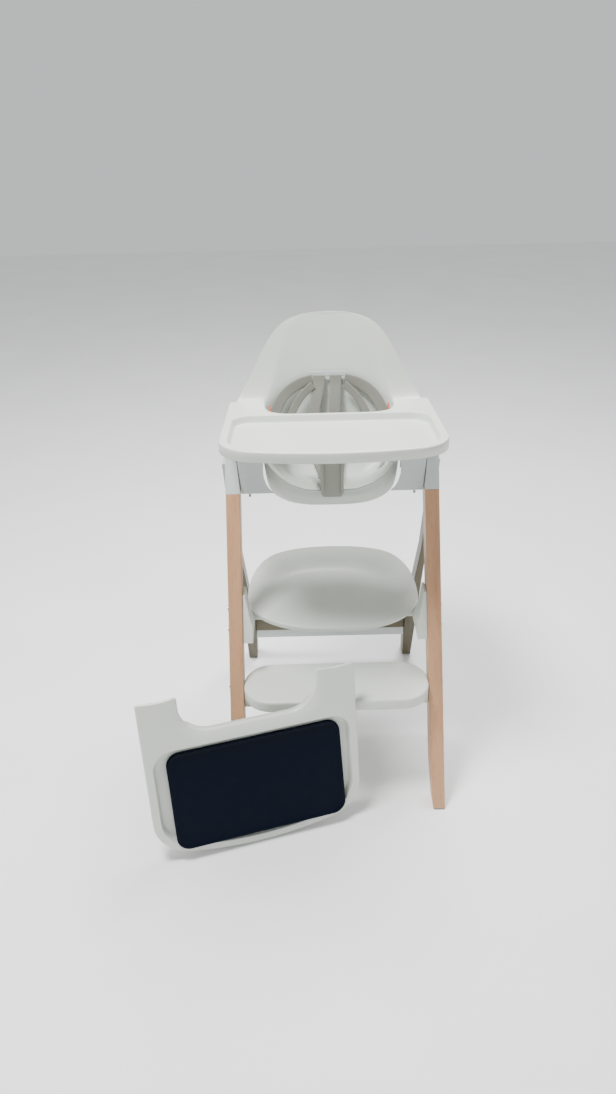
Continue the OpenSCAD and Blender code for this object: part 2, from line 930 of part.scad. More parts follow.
// Thin dark board that rests over the recess's front rim and tips into the recess.
module leaning_board() {
    color(navy)
        in_lean()
            translate([board_middle_x, board_front, board_lift])
                rotate([-board_tilt, 0, 0])
                    linear_extrude(board_thickness)
                        stadium(board_half_width, 0, board_depth, board_corner);
}

translate(row_shift) {
    front_leg(1);  // front_leg_right
    front_leg(-1);  // front_leg_left
    rear_leg(1);  // rear_leg_right
    rear_leg(-1);  // rear_leg_left
    side_joint(1);  // side_joint_right
    side_joint(-1);  // side_joint_left
    foot_glides();
    rear_crossbar();
    rear_brace();
    crossbar_screws();
    platform();
    platform_bracket(1);  // platform_bracket_right
    platform_bracket(-1);  // platform_bracket_left
    platform_screws();
    step();
    step_mount(1);  // step_mount_right
    step_mount(-1);  // step_mount_left
    step_screws();
    seat_shell();
    seat_cheek(1);  // seat_cheek_right
    seat_cheek(-1);  // seat_cheek_left
    seat_pins();
    seat_catches();
    release_tab(1);  // release_tab_right
    release_tab(-1);  // release_tab_left
    release_spring(1);  // release_spring_right
    release_spring(-1);  // release_spring_left
    tab_guide(1);  // tab_guide_right
    tab_guide(-1);  // tab_guide_left
    crotch_post();
    strap_guide();
    shoulder_strap(1);  // shoulder_strap_right
    shoulder_strap(-1);  // shoulder_strap_left
    hip_strap(1);  // hip_strap_right
    hip_strap(-1);  // hip_strap_left
    loop_strap(1);  // loop_strap_right
    loop_strap(-1);  // loop_strap_left
    crotch_strap();
    buckle();
    buckle_button();
    buckle_spring();
    tray();
    leaning_tray();
    leaning_board();
}
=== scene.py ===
"""Looks of a wooden-legged baby high chair with a fitted tray and a second tray that leans on its step.

Shapes are drawn in millimetres in the seat's, the trays' or the chair's own frame, with the same
driving sizes as the CAD part, and turned into metres in the shared frame at the end.
"""

import math

import bpy
from mathutils import Matrix, Vector
from mathutils.geometry import delaunay_2d_cdt


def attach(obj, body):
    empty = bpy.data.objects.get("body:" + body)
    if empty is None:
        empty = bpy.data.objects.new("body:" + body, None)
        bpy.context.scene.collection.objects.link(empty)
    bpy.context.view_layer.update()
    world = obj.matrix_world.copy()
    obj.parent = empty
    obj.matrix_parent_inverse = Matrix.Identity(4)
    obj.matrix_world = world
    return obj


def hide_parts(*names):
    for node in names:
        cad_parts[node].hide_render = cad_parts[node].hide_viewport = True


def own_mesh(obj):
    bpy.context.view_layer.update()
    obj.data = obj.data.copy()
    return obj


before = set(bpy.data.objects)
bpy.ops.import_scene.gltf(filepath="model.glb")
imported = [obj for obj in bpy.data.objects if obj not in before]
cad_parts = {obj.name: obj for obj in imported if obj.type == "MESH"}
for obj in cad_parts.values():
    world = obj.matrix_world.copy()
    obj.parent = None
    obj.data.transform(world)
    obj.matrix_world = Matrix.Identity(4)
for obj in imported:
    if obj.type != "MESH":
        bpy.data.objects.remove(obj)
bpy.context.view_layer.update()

MM = 0.001
ROW_SHIFT = Vector((78, -236, 0))
SEAT_TILT = math.radians(4.2)
TRAY_FRONT = Vector((0, 78, 783.5))
LEAN_TURN = math.radians(16.2)
LEAN_BACK = math.radians(9)
TRAY_SKIRT = 20
LEAN_FRONT = Vector((-156, -71, TRAY_SKIRT * math.sin(LEAN_BACK) + 0.05))


# ---- Frames -------------------------------------------------------------------------------


def chair_frame():
    return Matrix.Scale(MM, 4) @ Matrix.Translation(ROW_SHIFT)


def seat_frame():
    """x across, y back along the tray, z above it."""
    return chair_frame() @ Matrix.Translation(TRAY_FRONT) @ Matrix.Rotation(-SEAT_TILT, 4, "X")


def lean_frame():
    """The leaning tray stands on its front edge with its top to the front."""
    turn = Matrix.Rotation(LEAN_TURN, 4, "Z")
    stand = Matrix.Rotation(math.radians(90) - LEAN_BACK, 4, "X")
    return chair_frame() @ Matrix.Translation(LEAN_FRONT) @ turn @ stand


# ---- Small helpers ------------------------------------------------------------------------


def ease(u):
    u = min(1, max(0, u))
    return u * u * (3 - 2 * u)


def table_value(table, at, column=1):
    """Straight-line value between the rows of a table whose first column rises."""
    if at <= table[0][0]:
        return table[0][column]
    for low, high in zip(table, table[1:]):
        if at <= high[0]:
            share = (at - low[0]) / (high[0] - low[0])
            return low[column] + share * (high[column] - low[column])
    return table[-1][column]


def arc(centre, radius, start, end, steps):
    """Points of an arc without its last one, angles in degrees."""
    points = []
    for i in range(steps):
        angle = math.radians(start + (end - start) * i / steps)
        points.append((centre[0] + radius * math.cos(angle), centre[1] + radius * math.sin(angle)))
    return points


def line(start, end, steps):
    return [
        (
            start[0] + (end[0] - start[0]) * i / steps,
            start[1] + (end[1] - start[1]) * i / steps,
        )
        for i in range(steps)
    ]


def with_mirror(half):
    """Closes a right-hand half outline that starts and ends on x = 0."""
    return half + [(-x, y) for x, y in reversed(half[1:-1])]


def loft(rings):
    """Quads between neighbouring rings of equal length."""
    count = len(rings[0])
    return [
        (r * count + i, r * count + (i + 1) % count, (r + 1) * count + (i + 1) % count,
         (r + 1) * count + i)
        for r in range(len(rings) - 1)
        for i in range(count)
    ]


def piece(name, points, faces, place, body, nodes, material, subdivide=0):
    """Makes one smooth visual piece that rides on a body in the place of CAD nodes."""
    mesh = bpy.data.meshes.new(name)
    mesh.from_pydata([place @ Vector(p) for p in points], [], faces)
    mesh.validate()
    mesh.shade_smooth()
    mesh.materials.append(material)
    thing = bpy.data.objects.new(name, mesh)
    bpy.context.scene.collection.objects.link(thing)
    if subdivide:
        smooth = thing.modifiers.new("smooth", "SUBSURF")
        smooth.levels = subdivide
        smooth.render_levels = subdivide
    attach(thing, body)
    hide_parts(*nodes)
    return thing


# ---- Materials ----------------------------------------------------------------------------


def blank_material(name, roughness, metallic=0.0):
    material = bpy.data.materials.new(name)
    material.use_nodes = True
    shader = material.node_tree.nodes["Principled BSDF"]
    shader.inputs["Roughness"].default_value = roughness
    shader.inputs["Metallic"].default_value = metallic
    return material, material.node_tree, shader


def mapped(tree, scale=(1, 1, 1), rotation=(0, 0, 0)):
    """The object's own coordinates, turned and stretched."""
    place = tree.nodes.new("ShaderNodeTexCoord")
    mapping = tree.nodes.new("ShaderNodeMapping")
    mapping.vector_type = "TEXTURE"
    mapping.inputs["Rotation"].default_value = rotation
    mapping.inputs["Scale"].default_value = scale
    tree.links.new(place.outputs["Object"], mapping.inputs["Vector"])
    return mapping.outputs["Vector"]


def noise(tree, vector, scale, detail=2.0, roughness=0.5, distortion=0.0):
    node = tree.nodes.new("ShaderNodeTexNoise")
    node.inputs["Scale"].default_value = scale
    node.inputs["Detail"].default_value = detail
    node.inputs["Roughness"].default_value = roughness
    node.inputs["Distortion"].default_value = distortion
    tree.links.new(vector, node.inputs["Vector"])
    return node.outputs["Fac"]


def ramp(tree, value, stops):
    """Turns a value into a colour; stops are (position, colour)."""
    node = tree.nodes.new("ShaderNodeValToRGB")
    while len(node.color_ramp.elements) < len(stops):
        node.color_ramp.elements.new(0.5)
    for element, (position, colour) in zip(node.color_ramp.elements, stops):
        element.position = position
        element.color = (*colour, 1)
    tree.links.new(value, node.inputs["Fac"])
    return node.outputs["Color"]


def grey(value):
    return (value, value, value)


def bump(tree, shader, height, distance, strength):
    node = tree.nodes.new("ShaderNodeBump")
    node.inputs["Distance"].default_value = distance
    node.inputs["Strength"].default_value = strength
    tree.links.new(height, node.inputs["Height"])
    tree.links.new(node.outputs["Normal"], shader.inputs["Normal"])
    return node


def shaded(colour, factor):
    return tuple(channel * factor for channel in colour)


def moulded_plastic(name, colour, roughness, grain=0.3, coat=0.0, specular=0.5):
    """Moulded plastic: faint flow clouds in the colour, a fine spark-eroded grain in the bump."""
    material, tree, shader = blank_material(name, roughness)
    cloud = noise(tree, mapped(tree), 14, detail=3)
    tint = ramp(tree, cloud, [(0.3, shaded(colour, 0.965)), (0.7, colour)])
    tree.links.new(tint, shader.inputs["Base Color"])
    fine = noise(tree, mapped(tree), 1400, detail=1)
    bump(tree, shader, fine, 0.00012, grain)
    worn = noise(tree, mapped(tree), 60, detail=4)
    gloss = ramp(tree, worn, [(0.35, grey(roughness - 0.02)), (0.7, grey(roughness + 0.03))])
    tree.links.new(gloss, shader.inputs["Roughness"])
    shader.inputs["Specular IOR Level"].default_value = specular
    shader.inputs["Coat Weight"].default_value = coat
    shader.inputs["Coat Roughness"].default_value = 0.2
    return material


def wood(name, rotation, light, dark):
    """Lacquered beech with its grain along the turned z axis: bands, fibres and short flecks."""
    material, tree, shader = blank_material(name, 0.46)
    bands = noise(tree, mapped(tree, (1, 1, 9), rotation), 46, detail=5, distortion=0.5)
    tint = ramp(tree, bands, [(0.34, dark), (0.5, shaded(light, 0.95)), (0.68, light)])
    fleck_value = noise(tree, mapped(tree, (1, 1, 7), rotation), 420, detail=2)
    flecks = ramp(tree, fleck_value, [(0.3, grey(0.82)), (0.42, grey(1.0))])
    mix = tree.nodes.new("ShaderNodeMix")
    mix.data_type = "RGBA"
    mix.blend_type = "MULTIPLY"
    mix.inputs["Factor"].default_value = 1.0
    tree.links.new(tint, mix.inputs["A"])
    tree.links.new(flecks, mix.inputs["B"])
    tree.links.new(mix.outputs["Result"], shader.inputs["Base Color"])
    fibres = noise(tree, mapped(tree, (1, 1, 30), rotation), 900, detail=3)
    bump(tree, shader, fibres, 0.0003, 0.25)
    shader.inputs["Coat Weight"].default_value = 0.15
    shader.inputs["Coat Roughness"].default_value = 0.35
    return material


def woven(name, colour):
    """Harness webbing: ribs across the band crossed by fine threads along it."""
    material, tree, shader = blank_material(name, 0.82)
    ribs = tree.nodes.new("ShaderNodeTexWave")
    ribs.bands_direction = "Z"
    ribs.inputs["Scale"].default_value = 190
    ribs.inputs["Distortion"].default_value = 1.2
    ribs.inputs["Detail"].default_value = 2
    threads = tree.nodes.new("ShaderNodeTexWave")
    threads.bands_direction = "X"
    threads.inputs["Scale"].default_value = 260
    threads.inputs["Distortion"].default_value = 0.8
    vector = mapped(tree)
    tree.links.new(vector, ribs.inputs["Vector"])
    tree.links.new(vector, threads.inputs["Vector"])
    weave = tree.nodes.new("ShaderNodeMath")
    weave.operation = "MULTIPLY"
    tree.links.new(ribs.outputs["Fac"], weave.inputs[0])
    tree.links.new(threads.outputs["Fac"], weave.inputs[1])
    stops = [(0.0, shaded(colour, 0.74)), (0.5, shaded(colour, 0.93)), (1.0, colour)]
    tree.links.new(ramp(tree, weave.outputs["Value"], stops), shader.inputs["Base Color"])
    bump(tree, shader, weave.outputs["Value"], 0.0004, 0.6)
    shader.inputs["Sheen Weight"].default_value = 0.25
    shader.inputs["Sheen Roughness"].default_value = 0.5
    return material


def brushed_metal(name):
    material, tree, shader = blank_material(name, 0.34, metallic=1.0)
    lines = noise(tree, mapped(tree, (1, 1, 12)), 1600, detail=2)
    tint = ramp(tree, lines, [(0.3, grey(0.5)), (0.7, grey(0.68))])
    tree.links.new(tint, shader.inputs["Base Color"])
    bump(tree, shader, lines, 0.0001, 0.3)
    return material


def paint_node(name, material):
    """Gives a CAD node's object a finished material."""
    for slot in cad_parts[name].material_slots:
        slot.material = material


def soften(name, width):
    """Rounds a CAD node's hard edges with modifiers only; its mesh stays as packed."""
    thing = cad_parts[name]
    weld = thing.modifiers.new("weld", "WELD")
    weld.merge_threshold = 0.00001
    edge = thing.modifiers.new("edge", "BEVEL")
    edge.width = width * MM
    edge.segments = 3
    edge.limit_method = "ANGLE"
    edge.angle_limit = math.radians(32)
    edge.harden_normals = False
    thing.modifiers.new("shade", "WEIGHTED_NORMAL").keep_sharp = False


# ---- Trays --------------------------------------------------------------------------------

TRAY_HALF = 212
TRAY_DEPTH = 362
BOW = 34
BOW_RADIUS = (TRAY_HALF**2 + BOW**2) / (2 * BOW)
CORNER = 80
CORNER_X = TRAY_HALF - CORNER
CORNER_Y = BOW_RADIUS - math.sqrt((BOW_RADIUS - CORNER) ** 2 - CORNER_X**2)
BELLY_START = 277
NOTCH_HALF = 135
NOTCH_CORNER = 60
TIP_CORNER = 6
TIP_SAG = 3
RECESS_HALF = 197
RECESS_BACK = 252
RECESS_CORNER = 40
RECESS_DEPTH = 15
TRAY_WALL = 3.5


def tray_outline(inset):
    """Outline of a tray, drawn smaller all round by an inset, from the front middle."""
    touch = -math.degrees(math.acos(CORNER_X / (BOW_RADIUS - CORNER)))
    half = TRAY_HALF - inset
    tip = TRAY_DEPTH - TIP_CORNER
    notch = NOTCH_HALF + inset
    belly = BELLY_START + NOTCH_CORNER
    right = arc((0, BOW_RADIUS), BOW_RADIUS - inset, -90, touch, 24)
    right += arc((CORNER_X, CORNER_Y), CORNER - inset, touch, 0, 24)
    right += line((half, CORNER_Y), (half, tip), 40)
    right += arc((TRAY_HALF - TIP_CORNER, tip), TIP_CORNER - inset, 0, 90, 5)
    tip_line = line((TRAY_HALF - TIP_CORNER, TRAY_DEPTH - inset),
                    (NOTCH_HALF + TIP_CORNER, TRAY_DEPTH - inset), 16)
    right += [(x, y - TIP_SAG * math.sin(math.pi * i / 16)) for i, (x, y) in enumerate(tip_line)]
    right += arc((NOTCH_HALF + TIP_CORNER, tip), TIP_CORNER - inset, 90, 180, 5)
    right += line((notch, tip), (notch, belly), 8)
    right += arc((NOTCH_HALF - NOTCH_CORNER, belly), NOTCH_CORNER + inset, 0, -90, 20)
    right += line((NOTCH_HALF - NOTCH_CORNER, BELLY_START - inset), (0, BELLY_START - inset), 16)
    return with_mirror(right + [(0, BELLY_START - inset)])


def recess_outline(inset):
    """Outline of the recess, drawn smaller all round by an inset."""
    edge = TRAY_HALF - RECESS_HALF + inset
    touch = -math.degrees(math.acos(CORNER_X / (BOW_RADIUS - CORNER)))
    half = RECESS_HALF - inset
    side_end = RECESS_BACK - RECESS_CORNER
    right = arc((0, BOW_RADIUS), BOW_RADIUS - edge, -90, touch, 24)
    right += arc((CORNER_X, CORNER_Y), CORNER - edge, touch, 0, 20)
    right += line((half, CORNER_Y), (half, side_end), 16)
    right += arc((RECESS_HALF - RECESS_CORNER, side_end), RECESS_CORNER - inset, 0, 90, 16)
    back = RECESS_BACK - inset
    right += line((RECESS_HALF - RECESS_CORNER, back), (0, back), 20)
    return with_mirror(right + [(0, back)])


def notch_distance(x, y):
    across = abs(x) - (NOTCH_HALF - NOTCH_CORNER)
    along = BELLY_START + NOTCH_CORNER - y
    outside = math.hypot(max(across, 0), max(along, 0))
    return outside + min(max(across, along), 0) - NOTCH_CORNER


def tray_top(x, y):
    """Height of a tray's top: flat, but rolled down towards the hollow for the child."""
    arm = ease((y - BELLY_START - 10) / 50)
    drop = 8 - 5.5 * arm
    reach = 24 - 10 * arm
    share = max(0, 1 - max(0, notch_distance(x, y)) / reach)
    return -drop * share * share


def skirt_bottom(x, y):
    """Lowest height of a tray's edge: a full skirt, but only a thin plate over the armrests."""
    inner = ease((y - 296) / 14) * ease((185 - abs(x)) / 10)
    tip = ease((y - 352) / 8)
    open_share = max(inner, tip)
    return -TRAY_SKIRT + open_share * (TRAY_SKIRT - TRAY_WALL - 0.5)


def sheet_between(outer, inner, height, spacing=6):
    """Triangles between two outlines, with points on a grid so that a curved height shows."""
    grid = []
    for i in range(int(-TRAY_HALF / spacing), int(TRAY_HALF / spacing) + 1):
        for j in range(0, int(TRAY_DEPTH / spacing) + 1):
            grid.append((i * spacing, j * spacing))
    loops = [list(range(len(outer))), list(range(len(outer), len(outer) + len(inner)))]
    edges = [(loop[k], loop[(k + 1) % len(loop)]) for loop in loops for k in range(len(loop))]
    keep = [p for p in grid if inside(p, outer, 3) and not inside(p, inner, -3)]
    flat = [Vector(p) for p in list(outer) + list(inner) + keep]
    points, _, faces, *_ = delaunay_2d_cdt(flat, edges, [], 0, 0.0001)
    chosen = []
    for face in faces:
        middle = sum((points[k] for k in face), Vector((0, 0))) / len(face)
        if inside(middle, outer, 0) and not inside(middle, inner, 0):
            chosen.append(tuple(face))
    return [(p.x, p.y, height(p.x, p.y)) for p in points], chosen


def inside(point, outline, margin):
    """Whether a point lies inside an outline, at least a margin away (or out to a margin)."""
    x, y = point
    hit = False
    nearest = 1e9
    for (ax, ay), (bx, by) in zip(outline, outline[1:] + outline[:1]):
        if (ay > y) != (by > y) and x < ax + (y - ay) / (by - ay) * (bx - ax):
            hit = not hit
        if margin:
            nearest = min(nearest, math.hypot(ax - x, ay - y))
    if margin > 0:
        return hit and nearest > margin
    return hit or nearest < -margin


class Shape:
    """Collects points and faces."""

    def __init__(self):
        self.points = []
        self.faces = []

    def add(self, points, faces, flip=False):
        start = len(self.points)
        self.points += points
        self.faces += [
            tuple(start + k for k in (reversed(face) if flip else face)) for face in faces
        ]

    def add_rings(self, rings, flip=False):
        self.add([p for ring in rings for p in ring], loft(rings), flip)

    def add_cap(self, ring, flip=False):
        self.add(list(ring), [tuple(range(len(ring)))], flip)


def raised(outline, height):
    return [(x, y, height(x, y)) for x, y in outline]


def tray_shape():
    shape = Shape()
    rim = [(2.6, 0.0), (1.5, -0.35), (0.7, -1.1), (0.15, -2.2), (0, -3.2)]
    under = TRAY_WALL + 0.3
    shape.add(*sheet_between(tray_outline(rim[0][0]), recess_outline(0), tray_top))
    shape.add_rings([
        raised(tray_outline(inset), lambda x, y, d=down: tray_top(x, y) + d) for inset, down in rim
    ], flip=True)
    shape.add_rings([
        raised(tray_outline(0), lambda x, y: tray_top(x, y) + rim[-1][1]),
        raised(tray_outline(0), lambda x, y: min(skirt_bottom(x, y), tray_top(x, y) - 3.3)),
        raised(tray_outline(1), lambda x, y: min(skirt_bottom(x, y), tray_top(x, y) - 3.3) - 0.4),
        raised(tray_outline(TRAY_WALL), lambda x, y: min(skirt_bottom(x, y), tray_top(x, y) - 3.3)),
        raised(tray_outline(TRAY_WALL), lambda x, y: tray_top(x, y) - under + 0.3),
    ], flip=True)
    lower = sheet_between(tray_outline(TRAY_WALL), recess_outline(-TRAY_WALL),
                          lambda x, y: tray_top(x, y) - under + 0.3)
    shape.add(*lower, flip=True)
    wall = [(0, 0), (0.5, -0.3), (1.2, -1.4), (1.8, -4), (3.2, -11.5), (4.0, -13.8), (5.2, -14.8),
            (7.5, -RECESS_DEPTH)]
    shape.add_rings([raised(recess_outline(i), lambda x, y, d=down: d) for i, down in wall])
    shape.add_cap(raised(recess_outline(7.5), lambda x, y: -RECESS_DEPTH))
    low = RECESS_DEPTH + TRAY_WALL
    shape.add_rings([
        raised(recess_outline(-TRAY_WALL), lambda x, y: tray_top(x, y) - under + 0.3),
        raised(recess_outline(-2), lambda x, y: -low + 2),
        raised(recess_outline(0), lambda x, y: -low),
    ], flip=True)
    shape.add_cap(raised(recess_outline(0), lambda x, y: -low), flip=True)
    return shape


# ---- Seat shell ---------------------------------------------------------------------------

BUCKET_HALF = 142
SHELL_MID = 300
SHELL_FRONT = 89
SHELL_BACK = 88
FRONT_POWER = 3.2
BACK_POWER = 4.5
WALL_POWER = 3.4
SHELL_LEAN = 17
SHELL_WALL = 4
SHELL_BELLY = 22
PAN_DEPTH = 172
BACK_HEIGHT = 178
ARMREST_TOP = -4.5
FRONT_END = -13
FRONT_LIP = 4
# Height of the rim round the leg openings, by direction from the front (-90) to the side (0).
FRONT_RIM = [(-90, -148), (-60, -146), (-45, -136), (-36, -122), (-28, -106), (-22, -98),
             (-19, -24)]
# Outer edge of the armrest and back: direction, then how far across, back and up.
RIM_PATH = [
    (-12, 200, 268, ARMREST_TOP), (8, 200, 325, ARMREST_TOP), (16, 200, 346, ARMREST_TOP),
    (20, 200, 362, ARMREST_TOP), (24, 200, 371, ARMREST_TOP), (28, 198, 379, -1),
    (32, 186, 386, 17), (36, 165, 389, 51), (40, 145, 391, 94), (44, 126, 394, 127),
    (48, 108, 396, 148),
    (52, 95, 398, 158), (56, 83, 400, 165), (62, 62, 402, 172), (70, 42, 403, 176),
    (80, 19, 404, 177), (90, 0, 404, 178),
]
RIM_EDGES = [(-90, 4), (-13, 4), (-12, 14), (24, 14), (32, 9), (40, 7), (90, 7)]


def squared_reach(a, b, power, angle):
    across = abs(math.cos(angle)) / a
    along = abs(math.sin(angle)) / b
    return 1 / (across**power + along**power) ** (1 / power)


def side_angle(degrees):
    return math.copysign(180 - abs(degrees), degrees) if abs(degrees) > 90 else degrees


def rim_height(degrees):
    side = side_angle(degrees)
    if side < FRONT_END:
        return table_value(FRONT_RIM, side)
    return table_value(RIM_PATH, side, 3)


def bowl_point(degrees, share, extra, rim, low=-PAN_DEPTH):
    """A point of the bowl: share 0 at the middle of the pan, 1 at the rim."""
    angle = math.radians(degrees)
    depth, power = (SHELL_FRONT, FRONT_POWER) if degrees < 0 else (SHELL_BACK, BACK_POWER)
    reach = squared_reach(BUCKET_HALF + extra, depth + extra, power, angle)
    turn = math.radians(90 * share)
    out = reach * math.sin(turn) ** (2 / WALL_POWER)
    height = low + (1 - max(0, math.cos(turn)) ** (2 / WALL_POWER)) * (rim - low)
    lean = SHELL_LEAN * max(0, math.sin(angle)) * max(0, height) / BACK_HEIGHT
    return Vector((out * math.cos(angle), SHELL_MID + out * math.sin(angle) + lean, height))


def rim_corner(degrees, edge):
    side = side_angle(degrees)
    angle = math.radians(degrees)
    if side < FRONT_END:
        return edge + FRONT_LIP * Vector((math.cos(angle), math.sin(angle), 0))
    across, back, up = (table_value(RIM_PATH, side, k) for k in (1, 2, 3))
    return Vector((math.copysign(across, math.cos(angle)), back, up))


def shell_ring(degrees):
    """Profile of the shell in one direction, from the pan over the rim and back below."""
    rim = rim_height(degrees)
    edge = bowl_point(degrees, 1, 0, rim)
    corner = rim_corner(degrees, edge)
    width = (corner - edge).length
    deep = table_value(RIM_EDGES, side_angle(degrees))
    flange = lambda inset, down: edge + (1 - inset / width) * (corner - edge) - Vector((0, 0, down))
    inner = [bowl_point(degrees, s, 0, rim) for s in (0.06, 0.15, 0.25, 0.36, 0.46, 0.55, 0.63, 0.7,
                                                      0.77, 0.83, 0.88, 0.92, 0.955, 0.98)]
    fillet = min(9, width / 3)
    over = [flange(width - fillet * 0.45, -0.0), flange(width - fillet, 0), flange(width / 2, 0),
            flange(min(4, width / 3), 0), flange(1.4, 0.35), flange(0.3, 1.4), flange(0, 3)]
    if width > 6:
        under = [flange(0, deep - 1), flange(0.7, deep), flange(2, deep), flange(2.8, deep - 1.5),
                 flange(3, SHELL_WALL + 1), flange(5, SHELL_WALL),
                 flange(width - SHELL_WALL - 1, SHELL_WALL)]
    else:
        under = [flange(0, deep - 1), flange(0.6, deep), flange(1.6, deep + 0.2),
                 flange(2, deep + 0.4), flange(2.1, deep + 0.7), flange(2.2, deep + 1),
                 flange(2.3, deep + 1.5)]
    outer = [bowl_point(degrees, s, SHELL_WALL, rim - SHELL_WALL, -PAN_DEPTH - SHELL_BELLY)
             for s in (0.96, 0.92, 0.87, 0.81, 0.74, 0.66, 0.57, 0.46, 0.34, 0.2, 0.07)]
    return inner + over + under + outer


def seat_shell_shape():
    step = 3
    columns = [shell_ring(a - 360 if a > 180 else a) for a in range(0, 360, step)]
    rings = [[column[k] for column in columns] for k in range(len(columns[0]))]
    shape = Shape()
    shape.add_rings(rings)
    shape.add_cap(rings[0])
    shape.add_cap(rings[-1], flip=True)
    return shape


# ---- Platform and step --------------------------------------------------------------------

PLATFORM_HALF = (187, 141)
PLATFORM_MID = 295
PLATFORM_TOP = 365
PLATFORM_POWER = 2.3
PLATFORM_RISE = 40
PLATFORM_SECTION = [
    (0.1, 0, 0), (0.25, 0, 0), (0.4, 0, 0), (0.52, 0, 0), (0.6, 0, 0), (0.67, 0, 0), (0.74, 0, 0),
    (0.8, 0, 0), (0.86, 0, 0), (0.92, 0, 0), (0.97, 0, 0), (1, -3.4, 0), (1, -1.8, -0.8),
    (1, -0.5, -2.4), (1, 0, -5), (1, -0.3, -8), (1, -1.4, -11), (1, -3.4, -13.2), (1, -6, -14),
    (0.94, -2, -14), (0.86, -2, -14), (0.78, -2, -14), (0.7, -2, -14), (0.62, -2, -14),
    (0.5, 0, -14), (0.3, 0, -14), (0.1, 0, -14),
]


def platform_shape():
    rings = []
    for share, out_extra, up in PLATFORM_SECTION:
        ring = []
        for i in range(96):
            angle = math.tau * i / 96
            reach = squared_reach(*PLATFORM_HALF, PLATFORM_POWER, angle) * share + out_extra
            rise = PLATFORM_RISE * ease((math.sin(angle) + 0.1) / 0.8) * ease((share - 0.62) / 0.42)
            ring.append((reach * math.cos(angle), PLATFORM_MID + reach * math.sin(angle),
                         PLATFORM_TOP + rise + up))
        rings.append(ring)
    shape = Shape()
    shape.add_rings(rings)
    shape.add_cap(rings[0])
    shape.add_cap(rings[-1], flip=True)
    return shape


STEP_HALF = 191
STEP_FRONT = 47
STEP_BACK = 176
STEP_CORNER = 58
STEP_TOP = 260
STEP_THICK = 26


def step_outline(inset):
    x = STEP_HALF - STEP_CORNER
    low = STEP_FRONT + STEP_CORNER
    high = STEP_BACK - STEP_CORNER
    radius = STEP_CORNER - inset
    right = line((0, STEP_FRONT + inset), (x, STEP_FRONT + inset), 12)
    right += arc((x, low), radius, -90, 0, 20)
    right += line((STEP_HALF - inset, low), (STEP_HALF - inset, high), 3)
    right += arc((x, high), radius, 0, 90, 20)
    right += line((x, STEP_BACK - inset), (0, STEP_BACK - inset), 12)
    return with_mirror(right + [(0, STEP_BACK - inset)])


def step_shape():
    edge = [(14, 0), (5, 0), (2.6, -0.5), (1, -1.8), (0.2, -3.8), (0, -7), (0, -20), (0.4, -23.4),
            (1.6, -25.4), (3.4, -STEP_THICK), (14, -STEP_THICK)]
    rings = [raised(step_outline(i), lambda x, y, d=down: STEP_TOP + d) for i, down in edge]
    shape = Shape()
    shape.add_rings(rings, flip=True)
    shape.add_cap(rings[0])
    shape.add_cap(rings[-1], flip=True)
    return shape


# ---- Leaning board ------------------------------------------------------------------------

BOARD_HALF = 174
BOARD_DEPTH = 212
BOARD_CORNER = 27
BOARD_THICK = 6
BOARD_PLACE = Vector((3, 27, 1.7))
BOARD_TILT = math.radians(4.35)


def board_frame():
    """The board rests over the recess's front rim and tips into the recess."""
    tip = Matrix.Rotation(-BOARD_TILT, 4, "X")
    return lean_frame() @ Matrix.Translation(BOARD_PLACE) @ tip


def board_outline(inset):
    radius = BOARD_CORNER - inset
    x = BOARD_HALF - BOARD_CORNER
    high = BOARD_DEPTH - BOARD_CORNER
    right = line((0, inset), (x, inset), 10)
    right += arc((x, BOARD_CORNER), radius, -90, 0, 14)
    right += line((x + radius, BOARD_CORNER), (x + radius, high), 4)
    right += arc((x, high), radius, 0, 90, 14)
    right += line((x, BOARD_DEPTH - inset), (0, BOARD_DEPTH - inset), 10)
    return with_mirror(right + [(0, BOARD_DEPTH - inset)])


def board_shape():
    """Thin board with a narrow raised lip round a shallow flat."""
    edge = [(12, -1.4), (8, -1.4), (6.6, -1), (5.4, -0.3), (4.4, 0), (2, 0), (0.9, -0.3),
            (0.2, -1), (0, -2), (0, 1.2 - BOARD_THICK), (0.4, 0.3 - BOARD_THICK),
            (1.4, -BOARD_THICK)]
    rings = [raised(board_outline(i), lambda x, y, d=down: BOARD_THICK + d) for i, down in edge]
    shape = Shape()
    shape.add_rings(rings, flip=True)
    shape.add_cap(rings[0])
    shape.add_cap(rings[-1], flip=True)
    return shape


# ---- Harness ------------------------------------------------------------------------------

STRAP_WIDTH = 25
STRAP_THICK = 2.2
# Half section of a band: across and through, with rounded selvedges.
STRAP_SECTION = [(-0.5, 0), (-0.47, 0.36), (-0.42, 0.5), (-0.2, 0.44), (0, 0.42), (0.2, 0.44),
                 (0.42, 0.5), (0.47, 0.36), (0.5, 0), (0.47, -0.36), (0.42, -0.5), (0, -0.42),
                 (-0.42, -0.5), (-0.47, -0.36)]


def smooth_path(points, steps=6):
    """Catmull-Rom curve through points given as vectors."""
    ends = [2 * points[0] - points[1]] + points + [2 * points[-1] - points[-2]]
    path = []
    for a, b, c, d in zip(ends, ends[1:], ends[2:], ends[3:]):
        for i in range(steps):
            t = i / steps
            path.append(0.5 * (2 * b + (c - a) * t + (2 * a - 5 * b + 4 * c - d) * t**2
                               + (3 * b - a - 3 * c + d) * t**3))
    return path + [points[-1]]


